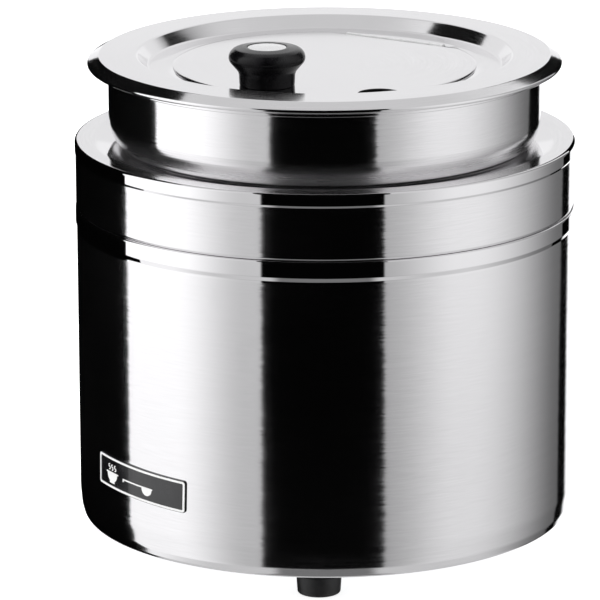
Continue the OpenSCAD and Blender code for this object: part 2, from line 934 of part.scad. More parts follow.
module flap_plate() {
    color("gainsboro") on_lid() translate([0, 0, flap_z]) difference() {
        intersection() {
            cylinder(r = flap_r, h = flap_t);
            translate([-200, -200, -1]) cube([400, 200 + flap_back, 5]);
        }
        rotate(slot_angle) translate([flap_r - 1.7, 0, -1]) cylinder(r = slot_r, h = 5);
        rotate(knob_angle) translate([knob_at, 0, -1]) cylinder(r = 2.6, h = 5, $fn = 32);
    }
}

module at_knob() {
    on_lid() rotate(knob_angle) translate([knob_at, 0, flap_top]) children();
}

module lid_knob() {
    color([0.05, 0.05, 0.06]) at_knob() difference() {
        rotate_extrude() polygon(bent([
            [0, 0],
            [18.5, 0, 1],
            [18.9, 9, 7],
            [25.9, 17.2, 5],
            [24.9, knob_h - 1.4, 6.5],
            [13.4, knob_h, 8],
            [0, knob_h]
        ]));
        translate([0, 0, knob_h - 1.2]) cylinder(r = knob_cap_r, h = 3);
        translate([0, 0, -1]) cylinder(r = 2.1, h = 16, $fn = 32);
    }
}

module knob_cap() {
    color("whitesmoke") at_knob() translate([0, 0, knob_h - 1.2]) intersection() {
        cylinder(r = knob_cap_r - 0.1, h = 3);
        translate([0, 0, 1.5 - 120]) sphere(r = 120, $fn = 200);
    }
}

module knob_screw() {
    color("silver") at_knob() translate([0, 0, -flap_t - 1.3]) pan_screw(2.1, 15, 4.2, 2.4);
}

module knob_washer() {
    color("silver") at_knob() translate([0, 0, -flap_t - 1.2]) ring(6, 2.6, 1.1);
}

outer_shell();
shoulder_cap();
water_well();
insulation_sleeve();
base_plate();
base_screws();
foot(feet_angles[3]);  // foot_front_right
foot(feet_angles[0]);  // foot_rear_right
foot(feet_angles[1]);  // foot_rear_left
foot(feet_angles[2]);  // foot_front_left
foot_screws();
foot_nuts();
heat_spreader();
heating_element();
element_ends();
element_clamp();
clamp_stud();
clamp_nut();
thermal_cutout();
cutout_screws();
thermostat_body();
thermostat_screws();
capillary_tube();
sensor_bulb();
bulb_clips();
lamp_bezel();
lamp_lens();
lamp_holder();
gland_body();
gland_nut();
gland_locknut();
terminal_block();
terminal_screws();
earth_stud();
earth_nut();
wire_live();
wire_link();
wire_switched();
wire_neutral();
wire_earth();
wire_lamp();
badge_plate();
badge_border();
badge_emblem();
dial_index();
food_pot();
lid_pan();
hinge_fixed_leaf();
hinge_pin();
flap_plate();
hinge_flap_leaf();
lid_knob();
knob_cap();
knob_screw();
knob_washer();
dial_skirt();
dial_grip();
dial_pointer();
thermostat_spindle();
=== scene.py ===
"""The visible model of the soup kettle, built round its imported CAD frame.

Sizes in this file are millimetres in the CAD's own frame and become metres when a
mesh is made. The functions come in this order: sheet outlines and meshes, materials,
the casing and its badge, the pot and its lid, the dial and the lamp, and last the studio.
"""

import json
import math

import bmesh
import bpy
from mathutils import Matrix, Vector


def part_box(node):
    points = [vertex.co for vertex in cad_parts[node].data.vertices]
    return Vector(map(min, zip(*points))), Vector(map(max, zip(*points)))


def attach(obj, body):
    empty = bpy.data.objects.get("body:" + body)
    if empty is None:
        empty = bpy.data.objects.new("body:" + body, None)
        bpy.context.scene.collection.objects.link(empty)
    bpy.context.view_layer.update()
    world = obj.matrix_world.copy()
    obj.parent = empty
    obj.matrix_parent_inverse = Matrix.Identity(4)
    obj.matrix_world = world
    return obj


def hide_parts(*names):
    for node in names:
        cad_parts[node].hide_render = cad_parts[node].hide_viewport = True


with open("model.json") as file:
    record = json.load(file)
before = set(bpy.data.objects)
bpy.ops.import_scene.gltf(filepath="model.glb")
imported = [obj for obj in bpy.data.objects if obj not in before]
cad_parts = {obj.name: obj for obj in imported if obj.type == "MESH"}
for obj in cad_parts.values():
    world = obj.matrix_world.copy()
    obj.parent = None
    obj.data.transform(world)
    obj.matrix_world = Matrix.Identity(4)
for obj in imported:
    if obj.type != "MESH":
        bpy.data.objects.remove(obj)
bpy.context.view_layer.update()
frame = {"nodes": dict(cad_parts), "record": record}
scene = bpy.context.scene

MM = 0.001


def node_top(name):
    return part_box(name)[1][2] / MM


def node_bottom(name):
    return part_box(name)[0][2] / MM


# ---- Sizes ----

SHEET = 1.0
BODY_R = 170.0
Z_BASE = node_bottom("outer_shell")
Z_SEAM = node_top("outer_shell") + 0.1
Z_SHOULDER = node_top("shoulder_cap")
Z_SEAT = Z_SHOULDER - 2.8
Z_LID = node_top("lid_pan")
Z_RIM = node_top("food_pot")
Z_POT = node_bottom("food_pot")
Z_WELL = node_bottom("water_well")
NECK_R = 147.4
POT_R = 131.5
WELL_R = 136.5
RIM_R = 151.0

LID_TURN = 15.8
LID_R = 161.5
LID_FLAT_R = 153.6
RECESS_R = 127.7
LEDGE_R = 120.6
LEDGE_Z = Z_LID - 8.6
FLAP_R = 103.2
FLAP_BACK = 89.1
HINGE_Y = 91.5
HINGE_HALF = 41.5
MOUTH_R = 99.5
MOUTH_BACK = 80.5
MOUTH_NOTCH = HINGE_Y + 2.8
MOUTH_CORNERS = [math.degrees(a) for a in (
    math.atan2(HINGE_HALF, MOUTH_NOTCH), math.atan2(HINGE_HALF, MOUTH_BACK), math.acos(MOUTH_BACK / MOUTH_R))]
SLOT_ANGLE = 323.4
SLOT_R = 14.5
SLOT_CENTRE = FLAP_R - 1.7
MOUTH_SLOT_R = SLOT_R - 0.4
KNOB_ANGLE = 272.9
KNOB_AT = 78.0
KNOB_H = 26.0
CAP_R = 13.2

DIAL_ANGLE = 138.0
LAMP_ANGLE = 156.0
DIAL_Z = 62.0
DIAL_R = 23.0
BADGE_Z = 70.4
BADGE_W = 89.6
BADGE_H = 22.4
BADGE_TILT = 1.6
FEET = {
    "foot_rear_right": 46.3,
    "foot_rear_left": 136.3,
    "foot_front_left": 226.3,
    "foot_front_right": 316.3,
}
FOOT_RING_R = 133.0
CAMERA_ANGLE = 48.2  # how far the camera stands round to the right of the badge


def cosd(angle):
    return math.cos(math.radians(angle))


def sind(angle):
    return math.sin(math.radians(angle))


def turned(angle, axis="Z"):
    """A rotation by an angle in degrees."""
    return Matrix.Rotation(math.radians(angle), 4, axis)


# ---- Outlines of bent sheet ----


def fillet(a, b, c, r, step=5.0):
    """Points on the rounded corner at b of the path a, b, c."""
    a, b, c = Vector(a), Vector(b), Vector(c)
    u, v = (a - b).normalized(), (c - b).normalized()
    half = math.acos(max(-1.0, min(1.0, u.dot(v)))) / 2
    if r <= 0 or half > math.radians(89.9):
        return [(b.x, b.y)]
    centre = b + (u + v).normalized() * r / math.sin(half)
    p, q = b + u * r / math.tan(half) - centre, b + v * r / math.tan(half) - centre
    start = math.atan2(p.y, p.x)
    turn = math.atan2(p.x * q.y - p.y * q.x, p.dot(q))
    n = max(3, math.ceil(abs(math.degrees(turn)) / step))
    return [
        (centre.x + r * math.cos(start + turn * i / n), centre.y + r * math.sin(start + turn * i / n))
        for i in range(n + 1)
    ]


def bent(corners, step=5.0):
    """A path through corners (x, y[, bend radius])."""
    out = []
    for i, k in enumerate(corners):
        if 0 < i < len(corners) - 1 and len(k) > 2:
            out += fillet(corners[i - 1][:2], k[:2], corners[i + 1][:2], k[2], step)
        else:
            out.append((k[0], k[1]))
    return out


def shifted(corners, t):
    """The same corners, on the line a distance t to the left of the path."""
    pts = [Vector(k[:2]) for k in corners]
    out = []
    for i, p in enumerate(pts):
        before = (p - pts[i - 1]).normalized() if i else None
        after = (pts[i + 1] - p).normalized() if i < len(pts) - 1 else None
        d1, d2 = before or after, after or before
        m = (d1 + d2).normalized()
        normal = Vector((-m.y, m.x)) / max(0.3, m.dot(d1))
        q = p + normal * t
        if len(corners[i]) > 2:
            left_turn = d1.x * d2.y - d1.y * d2.x > 0
            bend = corners[i][2] - t if left_turn else corners[i][2] + t
            out.append((q.x, q.y, max(bend, 0.05)))
        else:
            out.append((q.x, q.y))
    return out


def end_cap(p, q, onward):
    """Points round the sheet's edge, from p to q, bulging along onward."""
    p, q = Vector(p), Vector(q)
    mid, half = (p + q) / 2, (p - q) / 2
    out = Vector(onward).normalized() * half.length * 0.9
    return [tuple(mid + half * math.cos(a) + out * math.sin(a)) for a in (0.6, 1.15, math.pi / 2, 2.0, 2.55)]


def pulled_back(corners, t):
    """The corners with both ends drawn back, so that rounded edges end where the CAD's do."""
    pts = [list(k) for k in corners]
    for end, nearby in ((0, 1), (-1, -2)):
        a, b = Vector(pts[end][:2]), Vector(pts[nearby][:2])
        if pts[end][0] > 1e-6:
            a += (b - a).normalized() * t * 0.45
            pts[end][:2] = [a.x, a.y]
    return [tuple(k) for k in pts]


def sheet_loop(corners, t=SHEET, step=5.0):
    """The closed section of a sheet of thickness t on the left of a path."""
    corners = pulled_back(corners, t)
    outer = bent(corners, step)
    inner = bent(shifted(corners, t), step)
    loop = list(outer)
    onward = Vector(outer[-1]) - Vector(outer[-2])
    if outer[-1][0] > 1e-6:
        loop += end_cap(outer[-1], inner[-1], onward)
    loop += inner[::-1]
    back = Vector(outer[0]) - Vector(outer[1])
    if outer[0][0] > 1e-6:
        loop += end_cap(inner[0], outer[0], back)
    return supported([(max(0.0, x), y) for x, y in loop])


def supported(loop, close=0.14):
    """Adds points near both ends of each long straight, which keep it flat when it is shaded smooth."""
    out = []
    for i, a in enumerate(loop):
        a, b = Vector(a), Vector(loop[(i + 1) % len(loop)])
        out.append(tuple(a))
        if (b - a).length > 5 * close:
            along = (b - a).normalized() * close
            out += [tuple(a + along), tuple(b - along)]
    return out


# ---- Meshes ----


def finish_mesh(name, bm, sharp=38.0, place=None):
    """Makes an object from a bmesh in millimetres, smooth but for its sharp edges."""
    bmesh.ops.remove_doubles(bm, verts=bm.verts, dist=1e-5)
    bmesh.ops.dissolve_degenerate(bm, edges=bm.edges, dist=1e-6)
    bmesh.ops.recalc_face_normals(bm, faces=bm.faces)
    mesh = bpy.data.meshes.new(name)
    bm.to_mesh(mesh)
    bm.free()
    if place is not None:
        mesh.transform(place)
    mesh.transform(Matrix.Scale(MM, 4))
    mesh.polygons.foreach_set("use_smooth", [True] * len(mesh.polygons))
    mesh.set_sharp_from_angle(angle=math.radians(sharp))
    obj = bpy.data.objects.new(name, mesh)
    scene.collection.objects.link(obj)
    return obj


def merge(bm, extra):
    """Adds one bmesh to another, and frees it."""
    mesh = bpy.data.meshes.new("part")
    extra.to_mesh(mesh)
    extra.free()
    bm.from_mesh(mesh)
    bpy.data.meshes.remove(mesh)


def add_lathe(bm, section, angles=None, segments=288, closed=True):
    """Adds a turned shape. section is a list of (r, z), or a function of the angle in degrees."""
    if angles is None:
        angles = [360.0 * i / segments for i in range(segments)]
    get = section if callable(section) else lambda a: section
    rings = []
    poles = {}
    for a in angles:
        c, s = cosd(a), sind(a)
        ring = []
        for i, (r, z) in enumerate(get(a)):
            if r < 1e-6:
                if i not in poles:
                    poles[i] = bm.verts.new((0, 0, z))
                ring.append(poles[i])
            else:
                ring.append(bm.verts.new((r * c, r * s, z)))
        rings.append(ring)
    n = len(rings[0])
    last = n if closed else n - 1
    for k, ring in enumerate(rings):
        other = rings[(k + 1) % len(rings)]
        for i in range(last):
            j = (i + 1) % n
            quad = []
            for v in (ring[i], ring[j], other[j], other[i]):
                if v not in quad:
                    quad.append(v)
            if len(quad) > 2:
                bm.faces.new(quad)


def lathe(name, section, place=None, sharp=38.0, closed=True, **more):
    bm = bmesh.new()
    add_lathe(bm, section, closed=closed, **more)
    return finish_mesh(name, bm, sharp, place)


def flat_shape(loops, height, bevel, columns=2.0):
    """A bmesh of a flat shape with holes, lying on z = 0 and rising to height, cut into narrow columns."""
    curve = bpy.data.curves.new("outline", "CURVE")
    curve.dimensions = "2D"
    curve.fill_mode = "BOTH"
    curve.extrude = (height - 2 * bevel) / 2
    curve.bevel_depth = bevel
    curve.bevel_resolution = 1
    curve.offset = -bevel
    for loop in loops:
        spline = curve.splines.new("POLY")
        spline.points.add(len(loop) - 1)
        for point, (x, y) in zip(spline.points, loop):
            point.co = (x, y, 0, 1)
        spline.use_cyclic_u = True
    holder = bpy.data.objects.new("outline", curve)
    mesh = bpy.data.meshes.new_from_object(holder)
    bm = bmesh.new()
    bm.from_mesh(mesh)
    bpy.data.objects.remove(holder)
    bpy.data.curves.remove(curve)
    bpy.data.meshes.remove(mesh)
    bmesh.ops.remove_doubles(bm, verts=bm.verts, dist=1e-4)
    bmesh.ops.translate(bm, verts=bm.verts, vec=(0, 0, height / 2))
    xs = [v.co.x for v in bm.verts]
    x = math.floor(min(xs) / columns) * columns
    while x < max(xs):
        parts = bm.verts[:] + bm.edges[:] + bm.faces[:]
        bmesh.ops.bisect_plane(bm, geom=parts, plane_co=(x, 0, 0), plane_no=(1, 0, 0))
        x += columns
    return bm


def wrap(bm, radius, angle, z, tilt=0.0):
    """Lays a flat shape's X round the casing and its Z outwards."""
    ct, st = cosd(tilt), sind(tilt)
    for v in bm.verts:
        x, y, h = v.co
        along, up = x * ct + y * st, -x * st + y * ct
        a = math.radians(angle) + along / BODY_R
        r = radius + h
        v.co = (r * math.cos(a), r * math.sin(a), z + up)


def arc_points(cx, cy, r, start, end, n=16):
    angles = [start + (end - start) * i / n for i in range(n + 1)]
    return [(cx + r * cosd(a), cy + r * sind(a)) for a in angles]


def rounded_rect(w, h, r, n=8):
    out = []
    for cx, cy, start in (
        (w / 2 - r, h / 2 - r, 0),
        (-w / 2 + r, h / 2 - r, 90),
        (-w / 2 + r, -h / 2 + r, 180),
        (w / 2 - r, -h / 2 + r, 270),
    ):
        out += arc_points(cx, cy, r, start, start + 90, n)
    return out


def stroke(points, width, n=6):
    """The outline of a line of a width through points, with rounded ends."""
    pts = [Vector(p) for p in points]
    left, right = [], []
    for i, p in enumerate(pts):
        d1 = (p - pts[i - 1]).normalized() if i else (pts[1] - p).normalized()
        d2 = (pts[i + 1] - p).normalized() if i < len(pts) - 1 else d1
        m = (d1 + d2).normalized()
        side = Vector((-m.y, m.x)) * width / 2 / max(0.4, m.dot(d1))
        left.append(p + side)
        right.append(p - side)

    def cap(centre, toward):
        base = math.atan2(toward.y, toward.x) + math.pi / 2
        return [
            centre + Vector((math.cos(base - math.pi * i / n), math.sin(base - math.pi * i / n))) * width / 2
            for i in range(1, n)
        ]

    loop = left + cap(pts[-1], pts[-1] - pts[-2]) + right[::-1] + cap(pts[0], pts[0] - pts[1])
    return [(p.x, p.y) for p in loop]


def on_axis(angle, z, radius):
    """A frame whose +Z points out of the casing at an angle, and whose +X points down."""
    turn = turned(angle)
    return turn @ Matrix.Translation((radius, 0, z)) @ turned(90, "Y")


LID_FRAME = turned(LID_TURN)


def dress(obj, material, body, slot, *nodes):
    """Gives a piece its material and its body, and hides the CAD nodes that it stands for; slot is not used.
    """
    obj.data.materials.clear()
    obj.data.materials.append(MATERIALS[material])
    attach(obj, body)
    if nodes:
        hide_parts(*nodes)


# ---- Shader nodes ----


class Nodes:
    """A short way to write node trees."""

    def __init__(self, tree):
        self.tree = tree
        self.shader = None
        tree.nodes.clear()

    def add(self, kind, inputs=None, **settings):
        node = self.tree.nodes.new("ShaderNode" + kind)
        for key, value in settings.items():
            setattr(node, key, value)
        for key, value in (inputs or {}).items():
            self.feed(node.inputs[key], value)
        return node

    def feed(self, socket, value):
        if isinstance(value, bpy.types.NodeSocket):
            self.tree.links.new(value, socket)
        else:
            socket.default_value = value

    def surface(self, key, value):
        """Feeds a socket of the material's Principled shader."""
        self.feed(self.shader.inputs[key], value)

    def math(self, operation, a, b=0.0):
        node = self.add("Math", operation=operation)
        for socket, value in zip(node.inputs, (a, b)):
            self.feed(socket, value)
        return node.outputs[0]

    def plus(self, a, b):
        return self.math("ADD", a, b)

    def minus(self, a, b):
        return self.math("SUBTRACT", a, b)

    def times(self, *values):
        total = values[0]
        for value in values[1:]:
            total = self.math("MULTIPLY", total, value)
        return total

    def over(self, a, b):
        return self.math("DIVIDE", a, b)

    def most(self, a, b):
        return self.math("MAXIMUM", a, b)

    def blend(self, amount, a, b):
        """Goes from a to b as amount goes from 0 to 1."""
        return self.plus(self.times(a, self.minus(1.0, amount)), self.times(b, amount))

    def vector(self, operation, a, b=None):
        node = self.add("VectorMath", operation=operation)
        self.feed(node.inputs[0], a)
        if b is not None:
            self.feed(node.inputs["Scale"] if operation == "SCALE" else node.inputs[1], b)
        return node.outputs[0]

    def axes(self, vector):
        parts = self.add("SeparateXYZ", {"Vector": vector}).outputs
        return parts["X"], parts["Y"], parts["Z"]

    def step(self, value, low, high, to_low=0.0, to_high=1.0, smooth=True):
        """Goes from to_low to to_high as value goes from low to high."""
        node = self.add(
            "MapRange",
            {"Value": value, "From Min": low, "From Max": high, "To Min": to_low, "To Max": to_high},
            interpolation_type="SMOOTHSTEP" if smooth else "LINEAR",
        )
        return node.outputs["Result"]

    def ramp(self, value, stops):
        node = self.add("ValToRGB", {"Fac": value})
        elements = node.color_ramp.elements
        while len(elements) < len(stops):
            elements.new(0.5)
        for element, (at, colour) in zip(elements, stops):
            element.position = at
            element.color = (*colour, 1.0)
        return node.outputs["Color"]

    def mix(self, factor, a, b):
        """Goes from colour a to colour b."""
        node = self.add("Mix", data_type="RGBA")
        self.feed(node.inputs["Factor"], factor)
        for key, colour in (("A", a), ("B", b)):
            self.feed(node.inputs[key], (*colour, 1.0))
        return node.outputs["Result"]

    def noise(self, vector, scale, detail=2.0, rough=0.5, w=None):
        node = self.add("TexNoise", {
            "Vector": vector, "Scale": scale, "Detail": detail, "Roughness": rough})
        if w is not None:
            node.noise_dimensions = "4D"
            self.feed(node.inputs["W"], w)
        return node.outputs["Fac"]

    def place(self):
        return self.add("TexCoord").outputs["Object"]

    def bump(self, height, distance, strength=1.0, normal=None):
        node = self.add("Bump", {"Height": height, "Distance": distance, "Strength": strength})
        if normal is not None:
            self.feed(node.inputs["Normal"], normal)
        return node.outputs["Normal"]


def new_material(name, **constants):
    """A material and its nodes, with a Principled shader; constants are set on the shader's sockets."""
    material = bpy.data.materials.new(name)
    material.use_nodes = True
    nodes = Nodes(material.node_tree)
    nodes.shader = nodes.add("BsdfPrincipled")
    out = nodes.add("OutputMaterial", {"Surface": nodes.shader.outputs["BSDF"]})
    out.is_active_output = True
    for key, value in constants.items():
        nodes.surface(key.replace("_", " "), value)
    return material, nodes


LEAST_RADIUS = 0.002  # metres; keeps the directions round the axis defined on it


def spun_coordinates(nodes, around, fine):
    """Coordinates for marks that run round the vertical axis.

    Returns a vector and a fourth value for a noise, then the radius and the height.
    """
    x, y, z = nodes.axes(nodes.place())
    r = nodes.math("SQRT", nodes.plus(nodes.times(x, x), nodes.times(y, y)))
    safe = nodes.most(r, LEAST_RADIUS)
    vector = nodes.add("CombineXYZ", {
        "X": nodes.times(nodes.over(x, safe), around),
        "Y": nodes.times(nodes.over(y, safe), around),
        "Z": nodes.times(z, fine),
    }).outputs["Vector"]
    return vector, nodes.times(r, fine), r, z


def toned(nodes, colour, tint, tone):
    """The base colour is a tinted grey times tone."""
    grey = tuple(colour * t for t in tint)
    nodes.surface("Base Color", nodes.vector("SCALE", grey, tone))


def spun_steel(name, colour, rough, jag=0.02, grain=0.8, wave=30.0, stain=0.04, around=7.0, fine=1500.0,
               tint=(1.0, 0.992, 1.0), polished=(), across=0.7, dulled=None):
    """Stainless steel with a grain that runs round the vertical axis.

    jag is how far each line of the grain turns the surface sideways, in radians; grain is its height and
    wave that of the sheet's slow waviness, in micrometres. polished lists height ranges, in millimetres,
    that the forming tools left bright; across is how much further the grain spreads light up and down
    than sideways. dulled is the height below which the grain gets coarser, and how far it does so.
    """
    material, nodes = new_material(name, Metallic=1.0, Anisotropic_Rotation=0.25)
    tangent = nodes.add("Tangent", direction_type="RADIAL", axis="Z")
    nodes.surface("Tangent", tangent.outputs["Tangent"])
    hair_at, hair_w, radius, height = spun_coordinates(nodes, around * 1.5, fine * 2.2)
    line_at, line_w, _, _ = spun_coordinates(nodes, around, fine)
    broad_at, broad_w, _, _ = spun_coordinates(nodes, around * 0.3, fine * 0.16)
    hair = nodes.noise(hair_at, 1.0, 2.0, 0.6, w=hair_w)
    lines = nodes.noise(line_at, 1.0, 2.0, 0.65, w=line_w)
    broad = nodes.noise(broad_at, 1.0, 2.0, 0.5, w=broad_w)
    place = nodes.place()
    cloud = nodes.noise(place, 9.0, 3.0, 0.55)
    smudge = nodes.noise(place, 42.0, 4.0, 0.6)
    bright = 0.0
    soft = 0.4
    for low, high in polished:
        inside = nodes.times(nodes.step(height, (low - soft) * MM, (low + soft) * MM),
                             nodes.step(height, (high + soft) * MM, (high - soft) * MM))
        bright = nodes.most(bright, inside)
    dull = nodes.minus(1.0, bright)
    nodes.surface("Anisotropic", nodes.times(dull, across))
    # Roughness: streaks of the grain, faint wipe marks and cloudy patches
    streak = nodes.step(lines, 0.3, 0.7, -0.02, 0.03, smooth=False)
    patch = nodes.step(cloud, 0.35, 0.65, -0.01, 0.02)
    marks = nodes.step(smudge, 0.6, 0.8, 0.0, 0.03)
    total = nodes.plus(nodes.plus(rough, streak), nodes.plus(patch, marks))
    total = nodes.times(total, nodes.plus(0.35, nodes.times(dull, 0.65)))
    if dulled:
        top, extra = dulled
        total = nodes.plus(total, nodes.step(height, (top - 17) * MM, top * MM, extra, 0.0))
    nodes.surface("Roughness", nodes.most(total, 0.02))
    # Colour: each line of the grain is a little lighter or darker
    tone = nodes.plus(nodes.step(lines, 0.25, 0.75, -stain, stain, smooth=False),
                      nodes.step(hair, 0.25, 0.75, -stain * 0.6, stain * 0.6, smooth=False))
    tone = nodes.plus(nodes.times(tone, dull), nodes.step(smudge, 0.55, 0.85, 1.0, 0.975))
    toned(nodes, colour, tint, tone)
    # Each line of the grain leans a little to one side or the other
    sway = nodes.plus(nodes.times(nodes.minus(lines, 0.5), jag),
                      nodes.times(nodes.minus(hair, 0.5), jag * 1.2))
    sway = nodes.plus(sway, nodes.times(nodes.minus(broad, 0.5), jag * 0.5))
    sway = nodes.times(sway, dull)
    x, y, _ = nodes.axes(place)
    safe = nodes.most(radius, LEAST_RADIUS)
    side = nodes.add("CombineXYZ", {
        "X": nodes.times(nodes.over(y, safe), nodes.times(sway, -1.0)),
        "Y": nodes.times(nodes.over(x, safe), sway),
    })
    straight = nodes.add("NewGeometry").outputs["Normal"]
    leaning = nodes.vector("NORMALIZE", nodes.vector("ADD", straight, side.outputs["Vector"]))
    normal = nodes.bump(nodes.times(hair, dull), grain * 0.6e-6, normal=leaning)
    normal = nodes.bump(nodes.times(lines, dull), grain * 1e-6, normal=normal)
    normal = nodes.bump(nodes.noise(place, 13.0, 1.0, 0.5), wave * 1e-6, normal=normal)
    nodes.surface("Normal", normal)
    return material


def plain_metal(name, colour, rough, fleck=0.04, scale=900.0, depth=3.0, metallic=1.0, tint=(1, 1, 1)):
    """Metal of small fittings: fine pitting, uneven colour and roughness in patches."""
    material, nodes = new_material(name, Metallic=metallic)
    place = nodes.place()
    fine = nodes.noise(place, scale, 3.0, 0.6)
    broad = nodes.noise(place, scale * 0.09, 3.0, 0.6)
    tone = nodes.plus(nodes.step(fine, 0.3, 0.7, 1 - fleck, 1 + fleck, smooth=False),
                      nodes.step(broad, 0.35, 0.7, -0.06, 0.04))
    toned(nodes, colour, tint, tone)
    nodes.surface("Roughness", nodes.plus(rough, nodes.plus(
        nodes.step(broad, 0.3, 0.7, -0.05, 0.07), nodes.step(fine, 0.3, 0.7, -0.03, 0.03))))
    nodes.surface("Normal", nodes.bump(fine, depth * 1e-6))
    return material


def spangled_zinc(name):
    """Galvanised sheet: large crystals of slightly different greys, dull."""
    material, nodes = new_material(name, Metallic=0.85)
    place = nodes.place()
    cells = nodes.add("TexVoronoi", {"Vector": place, "Scale": 150.0, "Randomness": 1.0})
    value = nodes.add("SeparateColor", {"Color": cells.outputs["Color"]}).outputs["Red"]
    fine = nodes.noise(place, 1400.0, 2.0)
    tone = nodes.plus(nodes.step(value, 0, 1, 0.4, 0.62), nodes.step(fine, 0.3, 0.7, -0.04, 0.04))
    nodes.surface("Base Color", nodes.mix(tone, (0.2, 0.21, 0.22), (0.86, 0.88, 0.9)))
    nodes.surface("Roughness", nodes.step(value, 0, 1, 0.38, 0.58, smooth=False))
    nodes.surface("Normal", nodes.bump(fine, 6e-6))
    return material


def moulded(name, colour, rough, texture=6.0, scale=1800.0, wear=0.12, coat=0.0, specular=0.5, sheen=None):
    """Moulded plastic or rubber: fine spark texture, flow clouds and a little dust in the broad patches.

    sheen is two heights in metres and the specular levels there, in place of one level all over.
    """
    material, nodes = new_material(
        name, Coat_Weight=coat, Coat_Roughness=0.06, Specular_IOR_Level=specular)
    place = nodes.place()
    fine = nodes.noise(place, scale, 2.0, 0.55)
    flow = nodes.noise(place, 60.0, 4.0, 0.6)
    light = tuple(min(1.0, c * (1 + wear * 2) + wear * 0.02) for c in colour)
    dark = tuple(c * (1 - wear) for c in colour)
    nodes.surface("Base Color", nodes.mix(nodes.step(flow, 0.3, 0.72), dark, light))
    nodes.surface("Roughness", nodes.plus(rough, nodes.plus(
        nodes.step(flow, 0.3, 0.75, -0.04, 0.08), nodes.step(fine, 0.3, 0.7, -0.03, 0.03))))
    # Painted sheen: the specular level changes with height
    if sheen:
        nodes.surface("Specular IOR Level", nodes.step(nodes.axes(place)[2], *sheen))
    nodes.surface("Normal", nodes.bump(fine, texture * 1e-6))
    return material


def glass_wool(name):
    material, nodes = new_material(name, Roughness=0.95, Sheen_Weight=0.4)
    place = nodes.place()
    fibres = nodes.noise(nodes.vector("MULTIPLY", place, (1, 1, 5)), 220.0, 5.0, 0.7)
    lumps = nodes.noise(place, 70.0, 3.0, 0.6)
    nodes.surface("Base Color", nodes.ramp(fibres, [
        (0.25, (0.42, 0.33, 0.15)), (0.5, (0.72, 0.62, 0.36)), (0.75, (0.9, 0.84, 0.62))]))
    nodes.surface("Normal", nodes.bump(lumps, 1.5e-3, 0.8, nodes.bump(fibres, 4e-4, 0.8)))
    return material


def printed(name, colour, rough=0.42):
    """Screen print: an almost even colour with a faint screen pattern."""
    material, nodes = new_material(name)
    place = nodes.place()
    screen = nodes.noise(place, 2600.0, 1.0)
    cloud = nodes.noise(place, 90.0, 3.0)
    low = tuple(c * 0.93 for c in colour)
    nodes.surface("Base Color", nodes.mix(nodes.step(cloud, 0.3, 0.7), low, colour))
    nodes.surface("Roughness", nodes.step(
        screen, 0.3, 0.7, rough - 0.06, rough + 0.06, smooth=False))
    nodes.surface("Normal", nodes.bump(screen, 4e-6))
    return material


def heat_stained(name):
    """The element's tube: dark oxide with straw and blue tints."""
    material, nodes = new_material(name, Metallic=0.9)
    place = nodes.place()
    cloud = nodes.noise(place, 45.0, 4.0, 0.6)
    fine = nodes.noise(place, 1500.0, 3.0)
    nodes.surface("Base Color", nodes.ramp(cloud, [
        (0.3, (0.16, 0.15, 0.16)), (0.48, (0.3, 0.26, 0.22)),
        (0.58, (0.42, 0.36, 0.27)), (0.72, (0.22, 0.24, 0.3))]))
    nodes.surface("Roughness", nodes.step(fine, 0.3, 0.7, 0.36, 0.55))
    nodes.surface("Normal", nodes.bump(fine, 5e-6))
    return material


def clear_amber(name):
    material, nodes = new_material(
        name, Transmission_Weight=0.55, IOR=1.49, Coat_Weight=0.4, Coat_Roughness=0.03)
    place = nodes.place()
    cloud = nodes.noise(place, 160.0, 3.0)
    nodes.surface("Base Color", nodes.mix(
        nodes.step(cloud, 0.3, 0.7), (0.82, 0.2, 0.02), (0.98, 0.42, 0.07)))
    nodes.surface("Roughness", nodes.step(cloud, 0.3, 0.7, 0.08, 0.16))
    ribs = nodes.add("TexWave", {"Vector": place, "Scale": 260.0, "Distortion": 0.0},
                     wave_type="RINGS", rings_direction="SPHERICAL")
    nodes.surface("Normal", nodes.bump(ribs.outputs["Fac"], 1.2e-4, 0.6))
    return material


def striped_earth(name):
    """Green and yellow wire, in bands by height."""
    material, nodes = new_material(name, Roughness=0.38)
    bands = nodes.add("TexWave", {
        "Vector": nodes.place(), "Scale": 120.0, "Distortion": 1.0, "Detail": 0.0,
    }, wave_type="BANDS", bands_direction="Z")
    nodes.surface("Base Color", nodes.ramp(bands.outputs["Fac"], [
        (0.44, (0.03, 0.3, 0.07)), (0.52, (0.82, 0.72, 0.05))]))
    nodes.surface("Normal", nodes.bump(nodes.noise(nodes.place(), 900.0), 3e-6))
    return material


